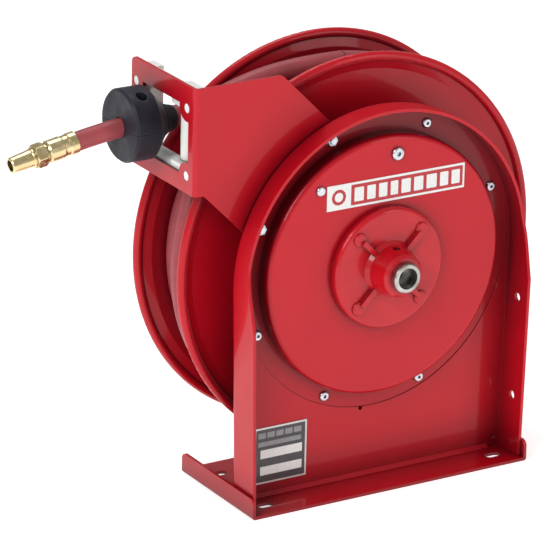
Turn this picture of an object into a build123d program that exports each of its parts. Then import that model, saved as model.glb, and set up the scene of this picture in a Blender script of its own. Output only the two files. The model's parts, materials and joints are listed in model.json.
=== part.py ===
from build123d import *
from math import acos, atan2, cos, degrees, hypot, pi, radians, sin, tan
import os

# A compact spring-rewind hose reel: a pressed-steel post on a flat base carries a fixed hollow shaft,
# and the drum turns on that shaft behind the post.
# Frame: X runs along the base, Y runs from the inlet side to the drum side, Z is up.
# Origin: centre of the base's underside. Lengths are millimetres.

# ---- driving dimensions ----
BASE_W, BASE_D, SHEET = 300.0, 130.0, 3.0
BASE_LIP = 20.0
AXIS_Z = 214.0
WEB_BACK = -22.0
WEB_FRONT = WEB_BACK - SHEET
HEAD_R, FOOT_HALF = 151.0, 146.5
LIP_LOW_Y, LIP_HEAD_Y = -60.0, -47.0
LIP_STEP_Z0, LIP_STEP_Z1 = 180.0, 236.0
EMBOSS_R, EMBOSS_Y = 125.0, -41.0
RING_HOLES_R, RING_HOLE_R = 135.0, 3.2
RING_ANGLES = [22.5 + 45.0 * k for k in range(7)]
ARM_ANGLES = (112.5, 157.5)  # the two ring positions that hold the guide arm
CASE_SCREW = (10.3, 106.7)
LIP_HOLES = [(-44.0, 158.0), (-44.0, 60.0)]
SLOT_X, SLOT_FRONT_Y, SLOT_REAR_Y = 250.0, -45.0, 39.0
SLOT_R, SLOT_L = 4.5, 16.0

HUB_R, HUB_FACE_Y, BOSS_END_Y = 58.0, -50.0, -75.0
LUG_R, LUG_ANGLES = 47.0, (45, 135, 225, 315)
SHAFT_END_Y, SHAFT_R, INLET_R, INLET_DEPTH = -81.0, 14.0, 10.0, 18.0
JOURNAL_R, SHOULDER_Y, SHAFT_TAIL_Y = 12.5, 4.0, 99.0
SET_SCREW_Y, CLIP_Y = -60.0, 97.4
SWIVEL_Y = 35.0
SEAL_Y = (SWIVEL_Y - 6.5, SWIVEL_Y + 6.5)
RUN_FIT = 0.05

FLANGE_R, BEAD_R = 189.6, 4.5
NEAR_RIM_Y, FAR_RIM_Y = 9.6, 90.6
NEAR_IN_Y, FAR_IN_Y, FLANGE_T = 14.0, 86.0, 2.0
BARREL_R, BARREL_T = 70.0, 2.0
HUB_SLEEVE_R, HUB_BOLT_R, HUB_BOLTS = 24.0, 29.0, 6
SPRING_Y0, SPRING_Y1, SPRING_T = 50.0, 79.0, 1.2

HOSE_R = 9.0
LAYER_PITCH, LAYERS, TURNS_PER_LAYER = 18.36, 5, 4
WINDING_R = BARREL_R + LAYERS * LAYER_PITCH - 0.4
LAY_R = WINDING_R + 0.4 + HOSE_R  # the last part-turn, on top of the full layers
GUIDE_Y = 50.0

PLATE_X = -191.5
PLATE_Z0, PLATE_Z1, PLATE_END_Y = 305.0, 406.0, 93.0
ARM_HALF, ARM_INNER = 64.0, 116.5
ROLLER_R, PIN_R = 9.0, 2.5
ROLL_H_X, ROLL_V_X = -179.2, -173.8
ROLL_LOW_Z, ROLL_HIGH_Z = 318.0, 390.0
ROLL_NEAR_Y, ROLL_FAR_Y = 16.0, 84.0
WINDOW_Y, WINDOW_Z = (-9.6, 81.0), (321.0, 387.0)
SPIGOTS = [(y, z) for y in (-6.5, 85.0) for z in (321.0, 384.5)]

BUMPER_R, BUMPER_FRONT_X, BUMPER_Z = 34.0, -228.0, 357.0
BUMPER_SCREWS = [(BUMPER_FRONT_X + 14.0, GUIDE_Y + side * 15.0) for side in (-1, 1)]
# Places along the end fitting, measured from the hose's cut end.
FERRULE_BACK, FERRULE_FRONT, HEX_BACK, HEX_FRONT, TIP = -16.0, 13.5, 15.5, 26.5, 50.0

TOOTH_R, TOOTH_ROOT_R, TEETH = 57.0, 50.0, 10
PAWL_X, PAWL_Z, PAWL_L = -70.8, 83.4, 57.0
PAWL_REST_DEG = -32.2
PAWL_Y0, PAWL_Y1 = 6.5, 10.0

PARTS = {}


def keep(name, shape):
    PARTS[name] = shape


# ---- helpers: most pieces are round about, or flat across, the drum's Y axis ----
def rod(radius, y0, y1, x=0.0, z=0.0):
    """Solid cylinder along Y, placed relative to the drum axis."""
    centre = Pos(x, (y0 + y1) / 2, AXIS_Z + z)
    return centre * Cylinder(radius, y1 - y0, rotation=(90, 0, 0))


def ring(inner, outer, y0, y1, x=0.0, z=0.0):
    return rod(outer, y0, y1, x, z) - rod(inner, y0 - 1, y1 + 1, x, z)


def block(x0, x1, y0, y1, z0, z1):
    return Pos((x0 + x1) / 2, (y0 + y1) / 2, (z0 + z1) / 2) * Box(x1 - x0, y1 - y0, z1 - z0)


def slab(face, y0, y1):
    """Extrude a face drawn in X,Z (absolute heights) from y0 to y1."""
    plane = Plane(origin=(0, y1, 0), x_dir=(1, 0, 0), z_dir=(0, -1, 0))
    return extrude(plane * face, y1 - y0)


def side_slab(face, x0, x1):
    """Extrude a face drawn in Y,Z from x0 to x1."""
    plane = Plane(origin=(x0, 0, 0), x_dir=(0, 1, 0), z_dir=(1, 0, 0))
    return extrude(plane * face, x1 - x0)


def polygon(points):
    return make_face(Polyline(*points, close=True))


def round_corners(face, radius, wanted):
    corners = [v for v in face.vertices() if any(hypot(v.X - x, v.Y - z) < 0.5 for x, z in wanted)]
    return fillet(corners, radius)


def at_angle(radius, angle):
    return radius * cos(radians(angle)), radius * sin(radians(angle))


def turned(profile):
    """Revolve a list of (radius, y) points about the drum axis."""
    face = Plane.XY * polygon(profile)
    return Pos(0, 0, AXIS_Z) * revolve(face, Axis.Y)


def hex_prism(across_flats, y0, y1, x, z):
    face = Pos(x, AXIS_Z + z) * RegularPolygon(across_flats / 2, 6, major_radius=False)
    return slab(face, y0, y1)


# ---- base ----
def base_plate():
    tray = block(-BASE_W / 2, BASE_W / 2, -BASE_D / 2, BASE_D / 2, 0, BASE_LIP)
    tray = fillet(tray.edges().filter_by(Axis.Y).group_by(Axis.Z)[0], 2.5)
    top_corners = tray.edges().filter_by(Axis.X).group_by(Axis.Z)[-1]
    tray = fillet(top_corners, 6.0)
    inner = BASE_W / 2 - SHEET
    tray -= block(-inner, inner, -BASE_D, BASE_D, SHEET, BASE_LIP + 1)
    slot = SlotOverall(SLOT_L, 2 * SLOT_R)
    for x in (-SLOT_X / 2, SLOT_X / 2):
        for y in (SLOT_FRONT_Y, SLOT_REAR_Y):
            tray -= extrude(Pos(x, y, -1) * slot, SHEET + 2)
    return tray


# ---- post: one pressed sheet with a lip all round and a round embossed face ----
def tombstone(radius, foot_half, foot_z):
    """Round head on straight sides that run tangent down to the foot."""
    drop = AXIS_Z - SHEET
    spread = hypot(foot_half, drop)
    angle = atan2(-drop, foot_half) + acos(radius / spread)
    tx, tz = radius * cos(angle), AXIS_Z + radius * sin(angle)
    sides = polygon([(-foot_half, foot_z), (foot_half, foot_z), (tx, tz), (-tx, tz)])
    return sides + Pos(0, AXIS_Z) * Circle(radius)


def support_post():
    body = slab(tombstone(HEAD_R, FOOT_HALF, SHEET), LIP_LOW_Y, WEB_BACK)
    back_edges = body.faces().sort_by(Axis.Y)[-1].edges()
    body = fillet([e for e in back_edges if e.center().Z > SHEET + 1], 4.0)
    hollow = slab(tombstone(HEAD_R - SHEET, FOOT_HALF - SHEET, -5.0), LIP_LOW_Y - 1, WEB_FRONT)
    body -= hollow
    # The lip is deep along the straight sides and shallower round the head.
    front = LIP_LOW_Y - 10
    step = [(front, LIP_STEP_Z0), (LIP_LOW_Y, LIP_STEP_Z0), (LIP_HEAD_Y, LIP_STEP_Z1),
            (LIP_HEAD_Y, AXIS_Z + HEAD_R + 20), (front, AXIS_Z + HEAD_R + 20)]
    cutter = round_corners(polygon(step), 24.0, [step[2]])
    body -= side_slab(cutter, -HEAD_R - 10, HEAD_R + 10)
    # Shallow ring round the embossed face, where the guide arm's bolt holes are.
    body -= ring(EMBOSS_R + 0.5, EMBOSS_R + 18.0, WEB_FRONT - 1, WEB_FRONT + 0.7)
    emboss = rod(EMBOSS_R, EMBOSS_Y, WEB_BACK)
    emboss = fillet(emboss.edges().sort_by(Axis.Y)[0], 5.0)
    pocket = rod(EMBOSS_R - SHEET, EMBOSS_Y + SHEET, WEB_BACK + 1)
    pocket = fillet(pocket.edges().sort_by(Axis.Y)[0], 3.0)
    body = body + emboss - pocket
    body -= rod(SHAFT_R + 1.0, EMBOSS_Y - 5, WEB_BACK)
    for angle in RING_ANGLES:
        x, z = at_angle(RING_HOLES_R, angle)
        body -= rod(RING_HOLE_R, WEB_FRONT - 5, WEB_BACK + 5, x, z)
    for angle in LUG_ANGLES:
        x, z = at_angle(LUG_R, angle)
        body -= rod(3.2, EMBOSS_Y - 5, WEB_BACK, x, z)
    body -= rod(4.1, EMBOSS_Y - 5, WEB_BACK, *CASE_SCREW)
    body -= rod(3.6, EMBOSS_Y - 5, WEB_BACK, PAWL_X, PAWL_Z)
    body -= rod(2.0, WEB_FRONT - 5, WEB_BACK + 5, -11.7, -144.0)
    # Two drain holes through the right lip, and a relief hole where web, lip and base meet.
    for y, z in LIP_HOLES:
        hole = Cylinder(4.2, 20, rotation=(0, 90, 0))
        body -= Pos(FOOT_HALF, y, z) * hole
    body -= rod(2.2, WEB_FRONT - 5, WEB_BACK + 5, FOOT_HALF - 8, 12 - AXIS_Z)
    return body


def post_weld():
    """Fillet weld beads along the web's foot, in front and behind."""
    leg = 3.5
    reach = FOOT_HALF - SHEET - 12
    beads = []
    for face_y, side in ((WEB_FRONT, -1), (WEB_BACK, 1)):
        section = polygon([(face_y, SHEET), (face_y + side * leg, SHEET), (face_y, SHEET + leg)])
        beads.append(side_slab(section, -reach, reach))
    return Compound(beads)


# ---- fixed hub, shaft and inlet ----
def hub_casting():
    disc = rod(HUB_R, HUB_FACE_Y, EMBOSS_Y)
    disc = fillet(disc.edges().sort_by(Axis.Y)[0], 4.0)
    boss = turned([(0, HUB_FACE_Y + 1), (28, HUB_FACE_Y + 1), (24, HUB_FACE_Y - 4), (20.5, BOSS_END_Y + 3),
                   (17.5, BOSS_END_Y), (0, BOSS_END_Y)])
    body = disc + boss
    for angle in LUG_ANGLES:
        x, z = at_angle(LUG_R, angle)
        lug = rod(6.5, HUB_FACE_Y - 2.2, HUB_FACE_Y + 1, x, z)
        body += fillet(lug.edges().sort_by(Axis.Y)[0], 1.5)
        rib = block(20, LUG_R - 3, HUB_FACE_Y - 4.5, HUB_FACE_Y + 1, -2.5, 2.5)
        body += Pos(0, 0, AXIS_Z) * Rot(0, -angle, 0) * rib
    body -= rod(SHAFT_R + 0.03, BOSS_END_Y - 5, EMBOSS_Y + 5)
    for angle in LUG_ANGLES:
        x, z = at_angle(LUG_R, angle)
        body -= rod(3.0, HUB_FACE_Y + 0.5, EMBOSS_Y + 1, x, z)
    # Radial hole in the top of the boss for the set screw that locks the shaft.
    body -= Pos(0, SET_SCREW_Y, AXIS_Z + 24) * Cylinder(3.5, 24)
    return body


def hub_screws():
    screws = []
    for angle in LUG_ANGLES:
        x, z = at_angle(LUG_R, angle)
        shank = rod(2.95, HUB_FACE_Y + 1.5, EMBOSS_Y + SHEET, x, z)
        head = hex_prism(10, EMBOSS_Y + SHEET, EMBOSS_Y + SHEET + 4, x, z)
        screws.append(shank + head)
    return Compound(screws)


def main_shaft():
    shaft = rod(SHAFT_R, SHAFT_END_Y, SHOULDER_Y) + rod(JOURNAL_R, SHOULDER_Y, SHAFT_TAIL_Y)
    shaft = chamfer(shaft.edges().filter_by(GeomType.CIRCLE).sort_by(Axis.Y)[0], 1.0)
    shaft -= rod(INLET_R, SHAFT_END_Y - 1, SHAFT_END_Y + INLET_DEPTH)
    shaft -= rod(6.0, SHAFT_END_Y, SWIVEL_Y + 5)
    shaft -= Pos(0, SWIVEL_Y, AXIS_Z) * Cylinder(3.0, 40)
    # Grooves for the two swivel seals and the retaining ring.
    for y in SEAL_Y:
        shaft -= ring(10.6, 20, y - 1.4, y + 1.4)
    shaft -= ring(11.3, 20, CLIP_Y, CLIP_Y + 1.3)
    # Spot face under the set screw.
    shaft -= Pos(0, SET_SCREW_Y, AXIS_Z + SHAFT_R + 3) * Cylinder(4.0, 8)
    return shaft


def shaft_set_screw():
    body = Pos(0, SET_SCREW_Y, AXIS_Z + SHAFT_R - 1 + 3.5) * Cylinder(3.4, 7)
    socket = extrude(Pos(0, SET_SCREW_Y, AXIS_Z + SHAFT_R + 3) * RegularPolygon(1.6, 6), 5)
    return body - socket


def swivel_seals():
    return Compound([ring(10.6, JOURNAL_R, y - 1.2, y + 1.2) for y in SEAL_Y])


def thrust_washer_near():
    return ring(JOURNAL_R + 0.05, 20, SHOULDER_Y, SHOULDER_Y + 1.5)


def thrust_washer_far():
    return ring(JOURNAL_R + 0.05, 20, CLIP_Y - 1.5, CLIP_Y)


def shaft_retaining_ring():
    clip = ring(11.3, 16.5, CLIP_Y + 0.05, CLIP_Y + 1.2)
    return clip - block(-3, 3, CLIP_Y - 1, CLIP_Y + 3, AXIS_Z - 20, AXIS_Z)


# ---- drum ----
def flange_profile(inner_y, outward, rim_y, hole_r):
    """Flat disc, short cone to the edge, and a rolled bead at the rim."""
    back = inner_y + outward * FLANGE_T
    turn_r = FLANGE_R - 2 * BEAD_R - 8
    edge_r = FLANGE_R - BEAD_R
    cone_in = rim_y - outward * FLANGE_T / 2
    cone_out = rim_y + outward * FLANGE_T / 2
    return [(hole_r, inner_y), (turn_r, inner_y), (edge_r, cone_in), (edge_r, cone_out), (turn_r, back),
            (hole_r, back)]


def flange(inner_y, outward, rim_y):
    disc = turned(flange_profile(inner_y, outward, rim_y, HUB_SLEEVE_R + 0.02))
    bead = Pos(0, rim_y, AXIS_Z) * Rot(90, 0, 0) * Torus(FLANGE_R - BEAD_R, BEAD_R)
    body = disc + bead
    for k in range(HUB_BOLTS):
        x, z = at_angle(HUB_BOLT_R, 30 + 60 * k)
        body -= rod(2.6, inner_y - 5, inner_y + 5, x, z)
    return body


def near_flange():
    return flange(NEAR_IN_Y, -1, NEAR_RIM_Y)


def far_flange():
    return flange(FAR_IN_Y, 1, FAR_RIM_Y)


def drum_barrel():
    body = ring(BARREL_R - BARREL_T, BARREL_R, NEAR_IN_Y, FAR_IN_Y)
    return body - Pos(0, SWIVEL_Y, AXIS_Z - BARREL_R) * Cylinder(7.6, 10)


def drum_hub(sleeve_y0, sleeve_y1, flange_y0, flange_y1):
    body = ring(16.0, HUB_SLEEVE_R, sleeve_y0, sleeve_y1) + ring(16.0, 34.0, flange_y0, flange_y1)
    for k in range(HUB_BOLTS):
        x, z = at_angle(HUB_BOLT_R, 30 + 60 * k)
        body -= rod(2.6, flange_y0 - 1, flange_y1 + 1, x, z)
    return body


def hub_near():
    return drum_hub(SHOULDER_Y + 1.9, 23.0, NEAR_IN_Y, NEAR_IN_Y + 4)


def hub_far():
    return drum_hub(82.0, CLIP_Y - 1.9, FAR_IN_Y - 4, FAR_IN_Y)


def bush_near():
    return ring(JOURNAL_R + RUN_FIT, 16.0, SHOULDER_Y + 1.9, 22.0)


def bush_far():
    return ring(JOURNAL_R + RUN_FIT, 16.0, 82.5, CLIP_Y - 1.9)


def hub_rivets(inner_y, outward):
    rivets = []
    for k in range(HUB_BOLTS):
        x, z = at_angle(HUB_BOLT_R, 30 + 60 * k)
        inside = inner_y - outward * 4
        outside = inner_y + outward * FLANGE_T
        low, high = sorted((inside, outside))
        body = rod(2.5, low, high, x, z)
        head_low, head_high = sorted((outside, outside + outward * 1.8))
        body += rod(4.2, head_low, head_high, x, z)
        tail_low, tail_high = sorted((inside, inside - outward * 1.5))
        body += rod(3.8, tail_low, tail_high, x, z)
        rivets.append(body)
    return Compound(rivets)


def swivel_body():
    """Brass gland that turns with the drum and feeds the hose from the shaft's cross hole."""
    body = ring(JOURNAL_R + RUN_FIT, 21.0, SWIVEL_Y - 10.5, SWIVEL_Y + 10.5)
    body -= ring(JOURNAL_R, 15.0, SWIVEL_Y - 3.5, SWIVEL_Y + 3.5)
    return body - Pos(0, SWIVEL_Y, AXIS_Z - 18) * Cylinder(5.0, 20)


def outlet_riser():
    """Pipe from the gland to the barrel wall, ending in the hose's inner coupling."""
    top, bottom = AXIS_Z - 20.0, AXIS_Z - BARREL_R + 0.4
    height = top - bottom
    centre = Pos(0, SWIVEL_Y, (top + bottom) / 2)
    body = centre * (Cylinder(7.4, height))
    collar_z = AXIS_Z - BARREL_R + BARREL_T + 6
    body += extrude(Pos(0, SWIVEL_Y, collar_z) * RegularPolygon(11, 6), 8)
    body -= rod(21.02, SWIVEL_Y - 12, SWIVEL_Y + 12)
    return body - centre * Cylinder(4.0, height + 2)


def spring_divider():
    return ring(26.0, BARREL_R - BARREL_T - 0.1, 46.5, 48.0)


def spring_arbor():
    body = ring(JOURNAL_R + 0.02, 19.0, SPRING_Y0 - 1, SPRING_Y1 + 1)
    return body - block(-2.5, 2.5, SPRING_Y0 - 3, SPRING_Y1 + 3, AXIS_Z + 8, AXIS_Z + 16.0)


def arbor_key():
    return block(-2.45, 2.45, SPRING_Y0, SPRING_Y1, AXIS_Z + 12.6, AXIS_Z + 15.9)


def power_spring():
    """Flat spiral mainspring: half-circle turns about two centres, one pitch apart in radius."""
    pitch, first = 3.2, 23.0
    halves = 24
    solid = None
    for k in range(halves):
        radius = first + k * pitch / 2
        shift = pitch / 2 if k % 2 else 0.0
        half = Circle(radius + SPRING_T) - Circle(radius)
        side = Pos(0, (radius + 5) / 2 * (1 if k % 2 == 0 else -1)) * Rectangle(3 * radius, radius + 5)
        piece = Pos(shift, AXIS_Z) * (half & side)
        piece = slab(piece, SPRING_Y0, SPRING_Y1)
        solid = piece if solid is None else solid + piece
    return solid


def hose_winding():
    return ring(BARREL_R + 0.05, WINDING_R, NEAR_IN_Y + 0.3, FAR_IN_Y - 0.3)


# ---- ratchet ----
def ratchet_ring():
    y0, y1 = NEAR_IN_Y - FLANGE_T - 4, NEAR_IN_Y - FLANGE_T
    body = ring(36.0, TOOTH_ROOT_R, y0, y1)
    step = 360 / TEETH
    notch_start = degrees(atan2(PAWL_Z, PAWL_X)) - 25
    for k in range(TEETH):
        a0 = notch_start + 24 + k * step
        a1 = a0 + 12
        corners = [at_angle(TOOTH_ROOT_R - 1, a0 - 2), at_angle(TOOTH_R, a0 + 1), at_angle(TOOTH_R, a1 - 1),
                   at_angle(TOOTH_ROOT_R - 1, a1 + 2)]
        body += slab(polygon([(x, z + AXIS_Z) for x, z in corners]), y0, y1)
    for k in range(3):
        x, z = at_angle(43, 90 + 120 * k)
        body -= rod(2.6, y0 - 1, y1 + 1, x, z)
    return body


def pawl():
    half_base, half_tip = 8.0, 3.0
    face = make_hull([*(Circle(half_base).edges()), *(Pos(PAWL_L - half_tip, 0) * Circle(half_tip)).edges()])
    face -= Circle(3.5 + RUN_FIT)
    placed = Pos(PAWL_X, AXIS_Z + PAWL_Z) * Rot(0, 0, PAWL_REST_DEG) * face
    return slab(placed, PAWL_Y0, PAWL_Y1)


def pawl_pin():
    """Shoulder rivet through the embossed face that carries the pawl at its inner end."""
    body = rod(3.5, EMBOSS_Y, 11.4, PAWL_X, PAWL_Z) + rod(6.0, EMBOSS_Y + SHEET, PAWL_Y0 - 0.3, PAWL_X, PAWL_Z)
    head = rod(4.6, EMBOSS_Y - 2.2, EMBOSS_Y, PAWL_X, PAWL_Z)
    body += fillet(head.edges().sort_by(Axis.Y)[0], 1.8)
    return body - ring(2.7, 6, 10.3, 11.1, PAWL_X, PAWL_Z)


def pawl_clip():
    clip = ring(2.75, 5.5, 10.35, 11.05, PAWL_X, PAWL_Z)
    return clip - block(PAWL_X - 2, PAWL_X + 2, 9, 12, AXIS_Z + PAWL_Z - 8, AXIS_Z + PAWL_Z)


def pawl_spring():
    wire = 0.7
    path = Helix(pitch=2.2, height=8.8, radius=7.6)
    coil = sweep(path=path, sections=Plane(origin=path @ 0, z_dir=path % 0) * Circle(wire))
    return Pos(PAWL_X, PAWL_Y0 - 1.5, AXIS_Z + PAWL_Z) * Rot(90, 0, 0) * coil


# ---- guide arm: one bent sheet, a flat arm on the post and a roller plate across the drum ----
def arm_point(along, across):
    """Point on the arm, along its 135-degree line and across it."""
    c = cos(radians(45))
    return (-along + across) * c, (along + across) * c


def guide_arm():
    bend = 5.0
    inner_a, inner_b = arm_point(ARM_INNER, ARM_HALF), arm_point(ARM_INNER, -ARM_HALF)
    reach = ARM_HALF * 2 ** 0.5
    top, low = PLATE_Z1 - AXIS_Z, PLATE_Z0 - AXIS_Z
    corner = (reach - top, top)
    foot = (-reach - low, low)
    outline = [inner_a, corner, (PLATE_X + bend, top), (PLATE_X + bend, low), foot, inner_b]
    face = polygon([(x, z + AXIS_Z) for x, z in outline])
    face = round_corners(face, 8.0, [(corner[0], PLATE_Z1)])
    arm_y1 = WEB_BACK + SHEET
    body = slab(face, WEB_BACK, arm_y1)
    outer = polygon([(PLATE_X, WEB_BACK), (PLATE_X + bend, WEB_BACK), (PLATE_X + bend, PLATE_END_Y),
                     (PLATE_X, PLATE_END_Y)])
    outer = round_corners(outer, bend, [(PLATE_X, WEB_BACK)])
    inside = polygon([(PLATE_X + SHEET, arm_y1), (PLATE_X + 3 * bend, arm_y1),
                      (PLATE_X + 3 * bend, PLATE_END_Y + 1), (PLATE_X + SHEET, PLATE_END_Y + 1)])
    inside = round_corners(inside, bend - SHEET, [(PLATE_X + SHEET, arm_y1)])
    channel = extrude(Pos(0, 0, PLATE_Z0) * (outer - inside), PLATE_Z1 - PLATE_Z0)
    far_edges = channel.edges().filter_by(Axis.X).group_by(Axis.Y)[-1]
    channel = fillet(far_edges, 6.0)
    body += channel
    body -= side_slab(window_face(), PLATE_X - 5, PLATE_X + SHEET + 2)
    for y, z in SPIGOTS:
        body -= Pos(PLATE_X, y, z) * Cylinder(4.5, 20, rotation=(0, 90, 0))
    for angle in ARM_ANGLES:
        body -= rod(RING_HOLE_R, WEB_BACK - 1, arm_y1 + 1, *at_angle(RING_HOLES_R, angle))
    return body


def window_face():
    width, height = WINDOW_Y[1] - WINDOW_Y[0], WINDOW_Z[1] - WINDOW_Z[0]
    face = Pos(sum(WINDOW_Y) / 2, sum(WINDOW_Z) / 2) * RectangleRounded(width, height, 4)
    for y, z in SPIGOTS:
        face -= Pos(y, z) * Circle(12.5)
    return face


def roller_blocks():
    """Four nylon corner blocks; each spigot shows in a hole of the plate."""
    back = PLATE_X + SHEET
    blocks = []
    for y0, y1, pin_y, spigot_y in ((-13.0, 25.2, ROLL_NEAR_Y, -6.5), (74.8, 92.5, ROLL_FAR_Y, 85.0)):
        for z0, z1, pin_z, spigot_z in ((310.0, 327.2, ROLL_LOW_Z, 321.0), (380.8, 398.0, ROLL_HIGH_Z, 384.5)):
            body = block(back, -168.6, y0, y1, z0, z1)
            body += Pos(back - SHEET / 2 + 0.2, spigot_y, spigot_z) * Cylinder(4.4, SHEET - 0.4, rotation=(0, 90, 0))
            body -= Pos(ROLL_H_X, 50, pin_z) * Cylinder(PIN_R, 72.0, rotation=(90, 0, 0))
            body -= Pos(ROLL_V_X, pin_y, 354) * Cylinder(PIN_R, 74.0)
            blocks.append(body)
    return Compound(blocks)


def roller_pins_level():
    return Compound([Pos(ROLL_H_X, 50, z) * Cylinder(PIN_R, 72.0, rotation=(90, 0, 0))
                     for z in (ROLL_LOW_Z, ROLL_HIGH_Z)])


def roller_pins_upright():
    return Compound([Pos(ROLL_V_X, y, 354) * Cylinder(PIN_R, 74.0) for y in (ROLL_NEAR_Y, ROLL_FAR_Y)])


def roller_shape(length):
    body = Cylinder(ROLLER_R, length)
    body = chamfer(body.edges().filter_by(GeomType.CIRCLE), 1.0)
    return body - Cylinder(PIN_R + RUN_FIT, length + 2)


def guide_rollers():
    level_y = 50.0
    keep("roller_bottom", Pos(ROLL_H_X, level_y, ROLL_LOW_Z) * Rot(90, 0, 0) * roller_shape(48.6))
    keep("roller_top", Pos(ROLL_H_X, level_y, ROLL_HIGH_Z) * Rot(90, 0, 0) * roller_shape(48.6))
    keep("roller_near", Pos(ROLL_V_X, ROLL_NEAR_Y, 354) * roller_shape(52.8))
    keep("roller_far", Pos(ROLL_V_X, ROLL_FAR_Y, 354) * roller_shape(52.8))


def guide_bolts():
    bolts = []
    for angle in ARM_ANGLES:
        x, z = at_angle(RING_HOLES_R, angle)
        back = WEB_BACK + SHEET
        head = rod(6.0, back, back + 3.0, x, z)
        head = fillet(head.edges().sort_by(Axis.Y)[-1], 2.0)
        bolts.append(head + rod(2.9, WEB_FRONT - 6.5, back, x, z))
    return Compound(bolts)


def guide_nuts():
    nuts = []
    for angle in ARM_ANGLES:
        x, z = at_angle(RING_HOLES_R, angle)
        front = WEB_FRONT + 0.7
        nut = hex_prism(9.0, front - 5.4, front - 1.0, x, z) + rod(5.4, front - 1.0, front, x, z)
        nuts.append(nut - rod(2.95, front - 12, front + 5, x, z))
    return Compound(nuts)


def spare_hole_screws():
    """Button-head screws that close the guide arm's other positions."""
    screws = []
    front = WEB_FRONT + 0.7
    for angle in RING_ANGLES:
        if angle in ARM_ANGLES:
            continue
        x, z = at_angle(RING_HOLES_R, angle)
        head = rod(4.8, front - 2.4, front, x, z)
        head = fillet(head.edges().sort_by(Axis.Y)[0], 1.8)
        body = head + rod(3.1, front, WEB_BACK + 2.5, x, z)
        screws.append(body - hex_prism(3.0, front - 4, front - 0.9, x, z))
    return Compound(screws)


def case_screw():
    x, z = CASE_SCREW
    head = rod(6.2, EMBOSS_Y - 3.0, EMBOSS_Y, x, z)
    head = fillet(head.edges().sort_by(Axis.Y)[0], 1.8)
    body = head + rod(4.0, EMBOSS_Y, EMBOSS_Y + 9, x, z)
    return body - hex_prism(4.0, EMBOSS_Y - 4, EMBOSS_Y - 1.4, x, z)


# ---- hose ----
def hose_start(next_x, next_z):
    """Where a hose drawn straight to the next point leaves the winding."""
    x, z = next_x, next_z - AXIS_Z
    angle = degrees(atan2(z, x)) - degrees(acos(LAY_R / hypot(x, z)))
    start_x, start_z = at_angle(LAY_R, angle)
    return start_x, AXIS_Z + start_z


def hose_route():
    """Centre line from the top of the winding, through the rollers and bumper, to the coupling."""
    rest = [(-45.0, 386.0), (-100.0, 377.5), (-152.0, 358.2), (-230.0, 357.2), (-289.0, 346.1)]
    points = [hose_start(*rest[0])] + rest
    print("hose route", [(round(x, 1), round(z, 1)) for x, z in points])
    return [Vector(x, GUIDE_Y, z) for x, z in points]


def hose_path(points):
    radii = []
    for a, b, c in zip(points, points[1:], points[2:]):
        turn = radians((b - a).get_angle(c - b))
        radii.append(0.45 * min((b - a).length, (c - b).length) / tan(turn / 2))
    print("hose arc radii", [round(r) for r in radii])
    return FilletPolyline(*points, radius=radii)


def tube_along(path, radius):
    section = Plane(origin=path @ 0, z_dir=path % 0) * Circle(radius)
    return sweep(section, path=path)


HOSE_POINTS = hose_route()
HOSE_LINE = hose_path(HOSE_POINTS)


def hose_run():
    tube = tube_along(HOSE_LINE, HOSE_R)
    print("hose run", round(HOSE_LINE.length, 1), "volume ratio",
          round(tube.volume / (pi * HOSE_R ** 2 * HOSE_LINE.length), 5))
    lay_radii = [BARREL_R + HOSE_R + k * LAYER_PITCH for k in range(LAYERS)]
    turns = TURNS_PER_LAYER * sum(lay_radii) - 0.5 * lay_radii[0] + LAY_R
    print("hose wound", round(2 * pi * turns), "total", round(2 * pi * turns + HOSE_LINE.length))
    return tube


def bumper_body():
    """Round stop with a cone that enters the roller window, turned about the hose line."""
    x = BUMPER_FRONT_X
    outline = [(x, 0), (x, BUMPER_R - 2), (x + 2.5, BUMPER_R), (x + 25, BUMPER_R), (x + 28, BUMPER_R - 3.5),
               (x + 40, 17.5), (x + 47, 13.2), (x + 54, 11.4), (x + 54, 0)]
    solid = revolve(polygon(outline), Axis.X)
    solid = Pos(0, GUIDE_Y, BUMPER_Z) * solid
    return solid - tube_along(HOSE_LINE, HOSE_R + 0.05)


def bumper_halves():
    body = bumper_body()
    gap = 0.3
    reach = BUMPER_R + 5
    box_x = (BUMPER_FRONT_X - 5, BUMPER_FRONT_X + 65)
    box_y = (GUIDE_Y - reach, GUIDE_Y + reach)
    upper = body & block(*box_x, *box_y, BUMPER_Z + gap, BUMPER_Z + reach)
    lower = body & block(*box_x, *box_y, BUMPER_Z - reach, BUMPER_Z - gap)
    for x, y in BUMPER_SCREWS:
        upper -= Pos(x, y, BUMPER_Z) * Cylinder(2.6, 100)
        upper -= Pos(x, y, BUMPER_Z + 40) * Cylinder(5.2, 2 * (40 - 14))
        lower -= Pos(x, y, BUMPER_Z) * Cylinder(2.6, 100)
        pocket = extrude(Pos(x, y, BUMPER_Z - 40) * RegularPolygon(4.6, 6, major_radius=False), 40 - 14)
        lower -= pocket
    keep("bumper_upper", upper)
    keep("bumper_lower", lower)


def bumper_screws():
    screws = []
    for x, y in BUMPER_SCREWS:
        body = Pos(x, y, BUMPER_Z) * Cylinder(2.5, 36)
        head = Pos(x, y, BUMPER_Z + 16.5) * Cylinder(4.6, 5)
        socket = extrude(Pos(x, y, BUMPER_Z + 16.5) * RegularPolygon(2.2, 6), 5)
        screws.append(body + head - socket)
    return Compound(screws)


def bumper_nuts():
    nuts = []
    for x, y in BUMPER_SCREWS:
        nut = extrude(Pos(x, y, BUMPER_Z - 18) * RegularPolygon(4.0, 6, major_radius=False), 4)
        nuts.append(nut - Pos(x, y, BUMPER_Z - 16) * Cylinder(2.55, 10))
    return Compound(nuts)


# ---- end fitting, built along its own Z and laid on the hose's end ----
def on_hose_end(shape):
    """Local Z runs out along the hose; Z = 0 is the hose's cut end."""
    plane = Plane(origin=HOSE_LINE @ 1, x_dir=(0, 1, 0), z_dir=HOSE_LINE % 1)
    return plane.location * shape


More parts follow.
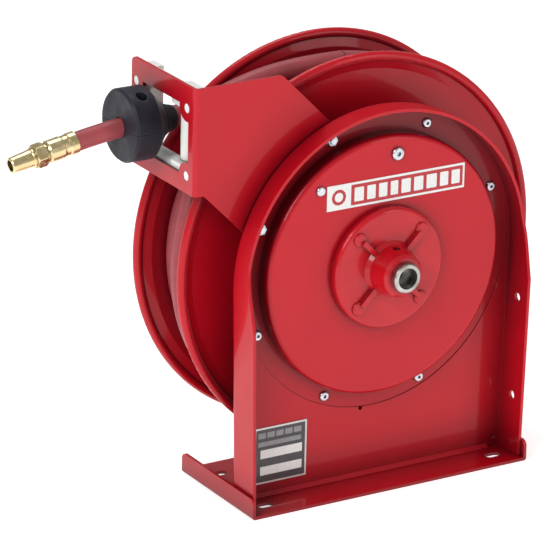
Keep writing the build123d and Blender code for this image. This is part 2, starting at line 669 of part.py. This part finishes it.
def spun(profile):
    """Revolve (radius, height) points about local Z."""
    return revolve(Plane.XZ * polygon(profile), Axis.Z)


def hose_ferrule():
    wall = 1.3
    inner = HOSE_R + 0.03
    profile = [(inner, FERRULE_BACK), (inner + wall, FERRULE_BACK), (inner + wall, -9.0), (inner + 0.7, -7.0),
               (inner + 0.7, -3.0), (inner + wall, -1.0), (inner + wall, FERRULE_FRONT - 2),
               (inner, FERRULE_FRONT), (5.0, FERRULE_FRONT), (5.0, 0.05), (inner, 0.05)]
    return on_hose_end(spun(profile))


def hose_nipple():
    """Hexagon next to the ferrule and a plain tapered nose with a threaded-size bore."""
    hexagon = extrude(Pos(0, 0, HEX_BACK) * RegularPolygon(10.0, 6, major_radius=False), HEX_FRONT - HEX_BACK)
    bevel = spun([(0, HEX_BACK), (9.9, HEX_BACK), (11.3, HEX_BACK + 1.6), (11.3, HEX_FRONT - 1.6),
                  (9.9, HEX_FRONT), (0, HEX_FRONT)])
    neck = spun([(0, FERRULE_FRONT), (8.6, FERRULE_FRONT), (8.6, HEX_BACK + 1), (0, HEX_BACK + 1)])
    nose = spun([(0, HEX_FRONT - 1), (8.9, HEX_FRONT - 1), (8.9, HEX_FRONT + 2), (8.4, HEX_FRONT + 3),
                 (7.2, TIP - 1), (6.6, TIP), (0, TIP)])
    bore = Pos(0, 0, (FERRULE_FRONT + TIP) / 2) * Cylinder(3.2, TIP - FERRULE_FRONT + 2)
    socket = Pos(0, 0, TIP) * Cylinder(5.4, 24)
    return on_hose_end((hexagon & bevel) + neck + nose - bore - socket)


# ---- labels ----
def name_label():
    return block(-64.0, 84.0, EMBOSS_Y - 0.4, EMBOSS_Y, AXIS_Z + 62.5, AXIS_Z + 86.5)


def rating_plate():
    return block(-126.0, -70.0, WEB_FRONT - 0.6, WEB_FRONT, 15.0, 70.5)


def build_all():
    keep("base_plate", base_plate())
    keep("support_post", support_post())
    keep("post_weld", post_weld())
    keep("hub_casting", hub_casting())
    keep("hub_screws", hub_screws())
    keep("main_shaft", main_shaft())
    keep("shaft_set_screw", shaft_set_screw())
    keep("swivel_seals", swivel_seals())
    keep("thrust_washer_near", thrust_washer_near())
    keep("thrust_washer_far", thrust_washer_far())
    keep("shaft_retaining_ring", shaft_retaining_ring())
    keep("near_flange", near_flange())
    keep("far_flange", far_flange())
    keep("drum_barrel", drum_barrel())
    keep("hub_near", hub_near())
    keep("hub_far", hub_far())
    keep("bush_near", bush_near())
    keep("bush_far", bush_far())
    keep("hub_rivets_near", hub_rivets(NEAR_IN_Y, -1))
    keep("hub_rivets_far", hub_rivets(FAR_IN_Y, 1))
    keep("swivel_body", swivel_body())
    keep("outlet_riser", outlet_riser())
    keep("spring_divider", spring_divider())
    keep("spring_arbor", spring_arbor())
    keep("arbor_key", arbor_key())
    keep("power_spring", power_spring())
    keep("hose_winding", hose_winding())
    keep("ratchet_ring", ratchet_ring())
    keep("pawl", pawl())
    keep("pawl_pin", pawl_pin())
    keep("pawl_clip", pawl_clip())
    keep("pawl_spring", pawl_spring())
    keep("guide_arm", guide_arm())
    keep("roller_blocks", roller_blocks())
    keep("roller_pins_level", roller_pins_level())
    keep("roller_pins_upright", roller_pins_upright())
    guide_rollers()
    keep("guide_bolts", guide_bolts())
    keep("guide_nuts", guide_nuts())
    keep("spare_hole_screws", spare_hole_screws())
    keep("case_screw", case_screw())
    keep("hose_run", hose_run())
    bumper_halves()
    keep("bumper_screws", bumper_screws())
    keep("bumper_nuts", bumper_nuts())
    keep("hose_ferrule", hose_ferrule())
    keep("hose_nipple", hose_nipple())
    keep("name_label", name_label())
    keep("rating_plate", rating_plate())


os.makedirs("parts", exist_ok=True)
build_all()
for name, shape in PARTS.items():
    export_step(shape, f"parts/{name}.step")
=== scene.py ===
import json
import math

import bmesh
import bpy
from mathutils import Matrix, Vector


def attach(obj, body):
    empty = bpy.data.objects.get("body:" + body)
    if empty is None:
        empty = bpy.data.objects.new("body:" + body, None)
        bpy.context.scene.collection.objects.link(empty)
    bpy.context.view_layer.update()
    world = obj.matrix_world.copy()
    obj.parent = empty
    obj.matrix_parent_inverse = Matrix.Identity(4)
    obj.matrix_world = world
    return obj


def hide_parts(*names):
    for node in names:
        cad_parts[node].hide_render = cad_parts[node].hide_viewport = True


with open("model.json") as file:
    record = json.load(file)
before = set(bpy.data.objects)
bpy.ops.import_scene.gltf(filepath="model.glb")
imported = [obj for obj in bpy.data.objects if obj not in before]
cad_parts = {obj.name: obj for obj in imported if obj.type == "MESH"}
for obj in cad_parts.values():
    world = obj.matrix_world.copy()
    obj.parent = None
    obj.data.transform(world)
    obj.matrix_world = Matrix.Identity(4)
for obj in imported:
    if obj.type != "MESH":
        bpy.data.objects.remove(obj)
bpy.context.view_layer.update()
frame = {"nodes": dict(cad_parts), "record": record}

NODES = frame["nodes"]
MM = 0.001
AXIS_Z = 214 * MM  # height of the drum's axis

# ---- camera: in front and to the left, looking down on the reel ----
CAMERA_AZIMUTH, CAMERA_ELEVATION, CAMERA_ROLL = -31.458, 20.438, 1.2
CAMERA_TARGET = Vector((-0.1319, -0.065, 0.2358))
CAMERA_DISTANCE, CAMERA_LENS = 3.956, 289.68


def make_camera():
    azimuth, elevation = math.radians(CAMERA_AZIMUTH), math.radians(CAMERA_ELEVATION)
    back = Vector((math.sin(azimuth) * math.cos(elevation),
                   -math.cos(azimuth) * math.cos(elevation),
                   math.sin(elevation)))
    level = (-back).cross(Vector((0, 0, 1))).normalized()
    upright = level.cross(-back)
    turn = math.radians(CAMERA_ROLL)
    right = level * math.cos(turn) + upright * math.sin(turn)
    up = upright * math.cos(turn) - level * math.sin(turn)
    place = Matrix((right, up, back)).transposed().to_4x4()
    place.translation = CAMERA_TARGET + back * CAMERA_DISTANCE
    data = bpy.data.cameras.new("camera")
    data.lens, data.sensor_width = CAMERA_LENS, 36.0
    data.clip_start, data.clip_end = 0.1, 50.0
    camera = bpy.data.objects.new("camera", data)
    bpy.context.scene.collection.objects.link(camera)
    camera.matrix_world = place
    bpy.context.scene.camera = camera


make_camera()

# ---- hose: a run through the guide, and the turns on the drum ----
HOSE_D = 18 * MM
HOSE_R = HOSE_D / 2
GUIDE_Y = 50 * MM
RUN_ROUTE = [(4.3, 384.7), (-45.0, 386.0), (-100.0, 377.5), (-152.0, 358.2), (-230.0, 357.2),
             (-289.0, 346.1)]  # x, z in mm

BARREL_R = 70 * MM
LAYER_PITCH = 18.36 * MM
LANE_PITCH = 17.8 * MM
LANES, LAYERS = 4, 5  # turns side by side in one layer, and full layers
POINTS_PER_TURN = 20
CROSSOVER = 0.15  # share of a turn in which the hose moves to the next lane
LAY_R = 170.8 * MM  # the last part-turn, where the run leaves the winding
LAST_TURN_Y = 37 * MM  # its place before it drifts in line with the guide
# Shares of the last turn: the climb on to the full layers, the crossing, the drift to the guide.
CLIMB_SPAN = 0.09
CROSS_START, CROSS_SPAN = 0.07, 0.13
DRIFT_START, DRIFT_SPAN = 0.30, 0.55
START_ANGLE, END_ANGLE = -90.0, 88.56
FULL_TURNS = LANES * LAYERS


def hose_curve(name, points):
    """A round hose whose centre line is one smooth open spline."""
    data = bpy.data.curves.new(name, "CURVE")
    data.dimensions = "3D"
    data.bevel_depth = 1.0
    data.bevel_resolution = 7
    data.resolution_u = 8
    data.use_fill_caps = True
    spline = data.splines.new("NURBS")
    spline.points.add(len(points) - 1)
    for control, point in zip(spline.points, points):
        control.co = (*point, 1.0)
        control.radius = HOSE_R
    spline.order_u = 3
    spline.use_endpoint_u = True
    piece = bpy.data.objects.new(name, data)
    bpy.context.scene.collection.objects.link(piece)
    return piece


def ease(share):
    """0 below 0, 1 above 1, and a smooth rise between."""
    share = min(max(share, 0.0), 1.0)
    return share * share * (3 - 2 * share)


def lane_place(lane):
    """Radius and Y of one lane; every second layer is laid back towards the near flange."""
    layer, index = divmod(lane, LANES)
    if layer % 2:
        index = LANES - 1 - index
    first = GUIDE_Y - LANE_PITCH * (LANES - 1) / 2
    return BARREL_R + HOSE_R + layer * LAYER_PITCH, first + index * LANE_PITCH


def winding_points():
    """Turn after turn from the barrel's outlet, up to where the run leaves at the top."""
    turns = FULL_TURNS + (END_ANGLE - START_ANGLE) / 360
    steps = round(turns * POINTS_PER_TURN)
    # The spline runs inside its control points, by this much on a circle.
    outside = 1 / math.cos(math.pi / POINTS_PER_TURN)
    points = []
    for step in range(steps + 1):
        turned = turns * step / steps
        angle = math.radians(START_ANGLE + 360 * turned)
        lane = int(turned + 0.5)
        share = turned + 0.5 - lane
        radius, y = lane_place(min(lane, FULL_TURNS - 1))
        if lane < FULL_TURNS - 1:
            next_radius, next_y = lane_place(lane + 1)
            moved = ease((share - 1 + CROSSOVER) / CROSSOVER)
            radius += (next_radius - radius) * moved
            y += (next_y - y) * moved
        elif lane == FULL_TURNS:
            # The last turn climbs on to the full layers, crosses them and drifts in line with the guide.
            radius += (LAY_R - radius) * ease(share / CLIMB_SPAN)
            y += (LAST_TURN_Y - y) * ease((share - CROSS_START) / CROSS_SPAN)
            y += (GUIDE_Y - y) * ease((share - DRIFT_START) / DRIFT_SPAN)
        if 0 < step < steps:
            radius *= outside
        points.append((radius * math.cos(angle), y, AXIS_Z + radius * math.sin(angle)))
    return points


def lay_hose():
    """The wound hose on the drum and the fixed run through the guide, in place of their CAD solids."""
    winding = hose_curve("hose_on_drum", winding_points())
    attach(winding, "drum")
    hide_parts("hose_winding")
    run = hose_curve("hose_through_guide", [(x * MM, GUIDE_Y, z * MM) for x, z in RUN_ROUTE])
    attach(run, "frame")
    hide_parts("hose_run")
    return [winding, run]


HOSES = lay_hose()


# ---- materials: each one is a Principled shader fed by a few procedural patterns ----
class Finish:
    """One material and the small set of nodes that the finishes below are built from."""

    def __init__(self, name, **sockets):
        self.material = bpy.data.materials.new(name)
        self.material.use_nodes = True
        self.nodes = self.material.node_tree.nodes
        self.links = self.material.node_tree.links
        self.shader = self.nodes["Principled BSDF"]
        self.coords = self.nodes.new("ShaderNodeTexCoord").outputs["Object"]
        for socket, value in sockets.items():
            self.shader.inputs[socket.replace("_", " ")].default_value = value

    def plug(self, value, socket):
        """Links a node output into a socket, or sets a plain value on it."""
        if isinstance(value, bpy.types.NodeSocket):
            self.links.new(value, socket)
        else:
            socket.default_value = value

    def stretched(self, stretch):
        mapping = self.nodes.new("ShaderNodeMapping")
        self.links.new(self.coords, mapping.inputs["Vector"])
        mapping.inputs["Scale"].default_value = stretch
        return mapping.outputs["Vector"]

    def noise(self, scale, detail=3.0, stretch=(1, 1, 1)):
        node = self.nodes.new("ShaderNodeTexNoise")
        self.links.new(self.stretched(stretch), node.inputs["Vector"])
        node.inputs["Scale"].default_value = scale
        node.inputs["Detail"].default_value = detail
        return node.outputs["Fac"]

    def cells(self, scale, stretch=(1, 1, 1)):
        node = self.nodes.new("ShaderNodeTexVoronoi")
        self.links.new(self.stretched(stretch), node.inputs["Vector"])
        node.inputs["Scale"].default_value = scale
        return node.outputs["Distance"]

    def waves(self, scale, direction, distortion):
        node = self.nodes.new("ShaderNodeTexWave")
        node.bands_direction = direction
        self.links.new(self.coords, node.inputs["Vector"])
        node.inputs["Scale"].default_value = scale
        node.inputs["Distortion"].default_value = distortion
        return node.outputs["Fac"]

    def span(self, value, low, high, to_low=0.0, to_high=1.0):
        node = self.nodes.new("ShaderNodeMapRange")
        self.links.new(value, node.inputs["Value"])
        for name, number in (("From Min", low), ("From Max", high), ("To Min", to_low), ("To Max", to_high)):
            node.inputs[name].default_value = number
        return node.outputs["Result"]

    def math(self, operation, a, b):
        node = self.nodes.new("ShaderNodeMath")
        node.operation = operation
        self.plug(a, node.inputs[0])
        self.plug(b, node.inputs[1])
        return node.outputs[0]

    def blend(self, share, a, b):
        node = self.nodes.new("ShaderNodeMix")
        node.data_type = "RGBA"
        self.plug(share, node.inputs["Factor"])
        self.plug(a, node.inputs["A"])
        self.plug(b, node.inputs["B"])
        return node.outputs["Result"]

    def rounded_normal(self, radius):
        node = self.nodes.new("ShaderNodeBevel")
        node.samples = 4
        node.inputs["Radius"].default_value = radius
        return node.outputs["Normal"]

    def edges(self, radius, low, high):
        """0 on flat faces, rising to 1 on edges sharper than the radius."""
        flat = self.nodes.new("ShaderNodeNewGeometry").outputs["Normal"]
        turned = self.nodes.new("ShaderNodeVectorMath")
        turned.operation = "DOT_PRODUCT"
        self.links.new(self.rounded_normal(radius), turned.inputs[0])
        self.links.new(flat, turned.inputs[1])
        return self.span(self.math("SUBTRACT", 1.0, turned.outputs["Value"]), low, high)

    def hollows(self, distance, low, high):
        """1 in open places, falling to 0 deep in corners and channels."""
        node = self.nodes.new("ShaderNodeAmbientOcclusion")
        node.samples = 4
        node.inputs["Distance"].default_value = distance
        return self.span(node.outputs["AO"], low, high)

    def bumps(self, layers, normal=None):
        """Stacks (height, strength, distance in metres) layers into one normal."""
        for height, strength, distance in layers:
            node = self.nodes.new("ShaderNodeBump")
            node.inputs["Strength"].default_value = strength
            node.inputs["Distance"].default_value = distance
            self.links.new(height, node.inputs["Height"])
            if normal is not None:
                self.links.new(normal, node.inputs["Normal"])
            normal = node.outputs["Normal"]
        self.links.new(normal, self.shader.inputs["Normal"])

    def set_surface(self, colour=None, roughness=None):
        if colour is not None:
            self.links.new(colour, self.shader.inputs["Base Color"])
        if roughness is not None:
            self.links.new(roughness, self.shader.inputs["Roughness"])
        return self.material


def colour(red, green, blue):
    """A linear colour from 0 to 255 screen values."""
    linear = [((v / 255 + 0.055) / 1.055) ** 2.4 if v > 10 else v / 255 / 12.92 for v in (red, green, blue)]
    return (*linear, 1.0)


def red_paint():
    """Gloss powder coat: faint orange peel, lighter on edges (painted highlight, partly paint worn thin),
    with painted shade in corners.
    """
    f = Finish("red_paint", Coat_Weight=0.35, Coat_Roughness=0.05, Specular_IOR_Level=0.2)
    mottle = f.span(f.noise(7.0, 4.0), 0.3, 0.7)
    base = f.blend(mottle, colour(192, 8, 28), colour(206, 11, 32))
    # Lighter red on sharp edges: painted highlight, partly paint worn thin.
    base = f.blend(f.edges(0.0012, 0.02, 0.35), base, colour(226, 30, 40))
    # Darker red deep in corners and channels: painted shade.
    base = f.blend(f.hollows(0.05, 0.3, 0.95), colour(96, 4, 18), base)
    specks = f.span(f.noise(520.0, 2.0), 0.70, 0.78)
    base = f.blend(f.math("MULTIPLY", specks, 0.25), base, colour(110, 6, 18))
    rough = f.span(f.noise(45.0, 4.0), 0.3, 0.7, 0.30, 0.42)
    f.bumps([(f.noise(260.0, 2.0), 0.10, 0.0004), (f.noise(38.0, 2.0), 0.06, 0.0015)],
            f.rounded_normal(0.0009))
    return f.set_surface(base, rough)


def red_casting():
    """The same paint over a sand-cast face, so the surface is coarser."""
    f = Finish("red_casting", Coat_Weight=0.5, Coat_Roughness=0.08, Specular_IOR_Level=0.25)
    base = f.blend(f.span(f.noise(30.0, 4.0), 0.3, 0.7), colour(190, 8, 26), colour(208, 12, 32))
    # Darker red in hollows and corners: painted shade.
    base = f.blend(f.hollows(0.012, 0.3, 0.9), colour(100, 4, 16), base)
    rough = f.span(f.noise(90.0, 3.0), 0.3, 0.7, 0.26, 0.44)
    f.bumps([(f.noise(340.0, 3.0), 0.22, 0.0006), (f.noise(90.0, 2.0), 0.22, 0.0016)],
            f.rounded_normal(0.0016))
    return f.set_surface(base, rough)


def zinc():
    """Bright zinc plate with a faint bluish bloom."""
    f = Finish("zinc", Metallic=1.0)
    bloom = f.span(f.noise(160.0, 3.0), 0.35, 0.65)
    base = f.blend(bloom, colour(226, 228, 232), colour(196, 202, 212))
    # Darker grey in hollows and corners: painted shade.
    base = f.blend(f.hollows(0.004, 0.3, 0.9), colour(110, 112, 118), base)
    rough = f.span(f.noise(420.0, 3.0), 0.3, 0.7, 0.20, 0.36)
    f.bumps([(f.noise(900.0, 2.0), 0.08, 0.0002)], f.rounded_normal(0.0005))
    return f.set_surface(base, rough)


def machined_steel():
    """Turned steel: fine tool rings across the shaft and a thin oil stain."""
    f = Finish("machined_steel", Metallic=1.0)
    stain = f.span(f.noise(70.0, 4.0), 0.4, 0.7)
    base = f.blend(stain, colour(205, 204, 200), colour(158, 152, 144))
    rings = f.waves(420.0, "Y", 1.5)
    rough = f.span(f.noise(300.0, 3.0, (1, 8, 1)), 0.3, 0.7, 0.22, 0.40)
    f.bumps([(rings, 0.06, 0.0001), (f.noise(500.0, 2.0), 0.05, 0.0002)], f.rounded_normal(0.0006))
    return f.set_surface(base, rough)


def spring_steel():
    """Blued strip with straw-coloured patches."""
    f = Finish("spring_steel", Metallic=1.0)
    base = f.blend(f.span(f.noise(60.0, 4.0), 0.35, 0.65), colour(92, 96, 110), colour(120, 108, 92))
    rough = f.span(f.noise(240.0, 3.0), 0.3, 0.7, 0.28, 0.45)
    f.bumps([(f.noise(600.0, 2.0, (1, 12, 1)), 0.06, 0.0002)])
    return f.set_surface(base, rough)


def bronze():
    """Sintered bronze, finely porous."""
    f = Finish("bronze", Metallic=1.0)
    base = f.blend(f.span(f.noise(120.0, 3.0), 0.35, 0.65), colour(176, 128, 72), colour(148, 104, 60))
    rough = f.span(f.noise(500.0, 3.0), 0.3, 0.7, 0.38, 0.55)
    f.bumps([(f.cells(1400.0), 0.12, 0.0002)])
    return f.set_surface(base, rough)


def brass():
    """Bright turned brass with tool rings, with painted shade in its grooves."""
    f = Finish("brass", Metallic=1.0)
    base = f.blend(f.span(f.noise(90.0, 4.0), 0.35, 0.65), colour(244, 226, 176), colour(226, 202, 146))
    # Darker brass in grooves and hollows: painted shade.
    base = f.blend(f.hollows(0.004, 0.35, 0.95), colour(110, 88, 44), base)
    rough = f.span(f.noise(260.0, 3.0), 0.3, 0.7, 0.16, 0.32)
    f.bumps([(f.waves(520.0, "X", 1.0), 0.08, 0.0001), (f.noise(420.0, 2.0), 0.05, 0.0002)],
            f.rounded_normal(0.0006))
    return f.set_surface(base, rough)


def seal_rubber():
    """Dull black rubber."""
    f = Finish("seal_rubber", Specular_IOR_Level=0.4)
    base = f.blend(f.noise(200.0, 3.0), colour(22, 22, 24), colour(38, 38, 40))
    rough = f.span(f.noise(300.0, 3.0), 0.3, 0.7, 0.5, 0.7)
    f.bumps([(f.noise(900.0, 2.0), 0.1, 0.0002)])
    return f.set_surface(base, rough)


def bumper_rubber():
    """Moulded rubber: blue-black, slightly bloomed, with a fine pebbled skin."""
    f = Finish("bumper_rubber", Specular_IOR_Level=0.3, Sheen_Weight=0.05, Sheen_Roughness=0.5)
    bloom = f.span(f.noise(34.0, 5.0), 0.35, 0.75)
    base = f.blend(bloom, colour(17, 17, 27), colour(36, 36, 50))
    # Lighter grey on edges: painted highlight.
    base = f.blend(f.edges(0.0016, 0.03, 0.4), base, colour(74, 77, 90))
    # Near black in hollows and corners: painted shade.
    base = f.blend(f.hollows(0.01, 0.3, 0.9), colour(9, 9, 13), base)
    rough = f.span(f.noise(80.0, 4.0), 0.3, 0.7, 0.42, 0.62)
    f.bumps([(f.cells(700.0), 0.12, 0.0003), (f.noise(60.0, 3.0), 0.15, 0.001)], f.rounded_normal(0.0012))
    return f.set_surface(base, rough)


def hose_rubber():
    """Smooth red-brown cover with faint scuffs and the ghost of its braid."""
    f = Finish("hose_rubber", Specular_IOR_Level=0.4, Coat_Weight=0.12, Coat_Roughness=0.3)
    dirt = f.span(f.noise(55.0, 5.0), 0.35, 0.75)
    base = f.blend(dirt, colour(172, 72, 78), colour(152, 68, 74))
    scuff = f.span(f.noise(160.0, 3.0, (0.25, 1, 1)), 0.62, 0.74)
    base = f.blend(f.math("MULTIPLY", scuff, 0.5), base, colour(196, 124, 116))
    rough = f.span(f.noise(120.0, 3.0), 0.3, 0.7, 0.42, 0.60)
    f.bumps([(f.cells(420.0, stretch=(0.5, 1, 1)), 0.10, 0.0003), (f.noise(50.0, 3.0), 0.08, 0.001)])
    return f.set_surface(base, rough)


def white_nylon():
    """Natural nylon: milky, a little translucent, with painted shade in its corners and hollows."""
    f = Finish("white_nylon", Specular_IOR_Level=0.45, Subsurface_Weight=0.15, Subsurface_Scale=0.004)
    base = f.blend(f.span(f.noise(80.0, 4.0), 0.35, 0.75), colour(250, 250, 248), colour(240, 240, 236))
    # Grey in hollows and corners: painted shade.
    base = f.blend(f.hollows(0.006, 0.3, 0.85), colour(176, 174, 170), base)
    rough = f.span(f.noise(200.0, 3.0), 0.3, 0.7, 0.32, 0.5)
    f.bumps([(f.noise(420.0, 3.0), 0.08, 0.0003)], f.rounded_normal(0.0006))
    return f.set_surface(base, rough)


def film(name, light, dark, metallic=0.0):
    """Printed film or foil with a faint grain."""
    f = Finish(name, Metallic=metallic, Coat_Weight=0.4, Coat_Roughness=0.1)
    base = f.blend(f.span(f.noise(400.0, 3.0), 0.3, 0.75), light, dark)
    rough = f.span(f.noise(250.0, 3.0), 0.3, 0.7, 0.30, 0.42)
    f.bumps([(f.noise(700.0, 2.0), 0.04, 0.0001)])
    return f.set_surface(base, rough)


FINISHES = {
    "red_paint": red_paint(),
    "red_casting": red_casting(),
    "zinc": zinc(),
    "machined_steel": machined_steel(),
    "spring_steel": spring_steel(),
    "bronze": bronze(),
    "brass": brass(),
    "seal_rubber": seal_rubber(),
    "bumper_rubber": bumper_rubber(),
    "hose_rubber": hose_rubber(),
    "white_nylon": white_nylon(),
    "label_film": film("label_film", colour(246, 246, 244), colour(236, 236, 232)),
    "rating_metal": film("rating_metal", colour(222, 222, 220), colour(198, 198, 196), 0.6),
}


def paint_nodes():
    """Gives every CAD piece the finish that the record names for it."""
    for part in frame["record"]["subparts"]:
        piece = NODES[part["node"]]
        piece.data.materials.clear()
        piece.data.materials.append(FINISHES[part["material_slot"]])
    for hose in HOSES:
        hose.data.materials.append(FINISHES["hose_rubber"])


paint_nodes()


# ---- printing on the two labels: plain shapes only, no lettering ----
INK = 0.12 * MM  # how far a printed field stands off its label
LABEL_Y, PLATE_Y = -41.4 * MM, -25.6 * MM


def patch_outline(x0, x1, z0, z1, corner):
    """Rounded rectangle in X and Z, all in millimetres."""
    points = []
    for cx, cz, start in ((x1 - corner, z1 - corner, 0), (x0 + corner, z1 - corner, 90),
                          (x0 + corner, z0 + corner, 180), (x1 - corner, z0 + corner, 270)):
        for step in range(4):
            angle = math.radians(start + 30 * step)
            points.append((cx + corner * math.cos(angle), cz + corner * math.sin(angle)))
    return points


def printed(name, outlines, face_y, finish):
    """Thin plates in front of a label's face, one for each outline."""
    data = bpy.data.meshes.new(name)
    shape = bmesh.new()
    for outline in outlines:
        front = [shape.verts.new((x * MM, face_y - INK, z * MM)) for x, z in outline]
        back = [shape.verts.new((x * MM, face_y, z * MM)) for x, z in outline]
        shape.faces.new(front)
        shape.faces.new(back[::-1])
        for k in range(len(outline)):
            after = (k + 1) % len(outline)
            shape.faces.new((front[k], back[k], back[after], front[after]))
    bmesh.ops.recalc_face_normals(shape, faces=shape.faces)
    shape.to_mesh(data)
    shape.free()
    data.materials.append(finish)
    piece = bpy.data.objects.new(name, data)
    bpy.context.scene.collection.objects.link(piece)
    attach(piece, "frame")


def ring_outlines(centre_x, centre_z, outer, inner, parts):
    """A flat ring as a row of four-sided outlines."""
    outlines = []
    for k in range(parts):
        a0, a1 = 2 * math.pi * k / parts, 2 * math.pi * (k + 1) / parts
        outlines.append([(centre_x + r * math.cos(a), centre_z + r * math.sin(a))
                         for r, a in ((outer, a0), (outer, a1), (inner, a1), (inner, a0))])
    return outlines


def print_name_label():
    """White label: a ring at its left end, then a red field with a row of plain bars."""
    red = film("label_red", colour(196, 18, 34), colour(178, 14, 30))
    printed("label_field", [patch_outline(-38.5, 82.0, 278.7, 298.3, 0.8)], LABEL_Y, red)
    printed("label_emblem", ring_outlines(-51.5, 288.5, 7.6, 4.6, 12), LABEL_Y, red)
    bars, left, gap = [], -35.0, 3.6
    for width in (10.0, 9.0, 9.0, 8.0, 10.0, 10.0, 11.0, 9.0, 9.0):
        bars.append(patch_outline(left, left + width, 281.8, 295.2, 0.9))
        left += width + gap
    printed("label_bars", bars, LABEL_Y - INK, FINISHES["label_film"])


def print_rating_plate():
    """Rating plate: a dark field with a row of grey blocks, a grey band and two white boxes."""
    dark = film("plate_ink", colour(52, 50, 54), colour(66, 64, 68))
    grey = film("plate_grey", colour(150, 150, 152), colour(132, 132, 136))
    on_ink = PLATE_Y - INK
    blocks = [patch_outline(-122.0 + 9.5 * k, -114.0 + 9.5 * k, 60.0, 65.5, 0.6) for k in range(5)]
    band = [patch_outline(-122.0, -76.0, 52.0, 56.5, 0.6)]
    boxes = [patch_outline(-119.5, -75.0, low, low + 8.5, 0.4) for low in (40.0, 23.5)]
    field = [patch_outline(-124.2, -71.8, 16.8, 68.7, 1.0)]
    printed("plate_field", field, PLATE_Y, dark)
    printed("plate_heading", blocks, on_ink, grey)
    printed("plate_band", band, on_ink, grey)
    printed("plate_boxes", boxes, on_ink, FINISHES["label_film"])


print_name_label()
print_rating_plate()


# ---- stage and light ----
def make_floor():
    """A wide sheet of pale paper, lit a little from within so that it stays even."""
    data = bpy.data.meshes.new("floor")
    shape = bmesh.new()
    bmesh.ops.create_grid(shape, x_segments=1, y_segments=1, size=9.0)
    shape.to_mesh(data)
    shape.free()
    floor = bpy.data.objects.new("floor", data)
    bpy.context.scene.collection.objects.link(floor)
    paper = bpy.data.materials.new("paper")
    paper.use_nodes = True
    shader = paper.node_tree.nodes["Principled BSDF"]
    shader.inputs["Base Color"].default_value = (0.86, 0.86, 0.86, 1)
    shader.inputs["Roughness"].default_value = 0.9
    shader.inputs["Emission Color"].default_value = (1, 1, 1, 1)
    shader.inputs["Emission Strength"].default_value = 0.6
    data.materials.append(paper)


def softbox(name, place, aim, size, power):
    """A rectangular lamp that faces a point; sizes in metres, power in watts."""
    data = bpy.data.lights.new(name, "AREA")
    data.shape = "RECTANGLE"
    data.size, data.size_y = size
    data.energy = power
    lamp = bpy.data.objects.new(name, data)
    bpy.context.scene.collection.objects.link(lamp)
    lamp.location = place
    lamp.rotation_mode = "QUATERNION"
    lamp.rotation_quaternion = (Vector(aim) - Vector(place)).to_track_quat("-Z", "Y")


def light_stage():
    """Even white surroundings, with the main light from the upper left."""
    world = bpy.data.worlds.new("studio")
    bpy.context.scene.world = world
    world.use_nodes = True
    world.node_tree.nodes["Background"].inputs["Color"].default_value = (1, 1, 1, 1)
    world.node_tree.nodes["Background"].inputs["Strength"].default_value = 0.36
    centre = (0.0, 0.0, 0.2)
    softbox("key", (-2.2, -1.1, 2.0), centre, (1.0, 1.4), 37)
    softbox("fill", (1.6, -2.4, 1.2), centre, (0.8, 1.8), 9)
    softbox("top", (0.2, 0.9, 2.4), centre, (1.4, 1.0), 16)
    bpy.context.scene.view_settings.view_transform = "Standard"


make_floor()
light_stage()
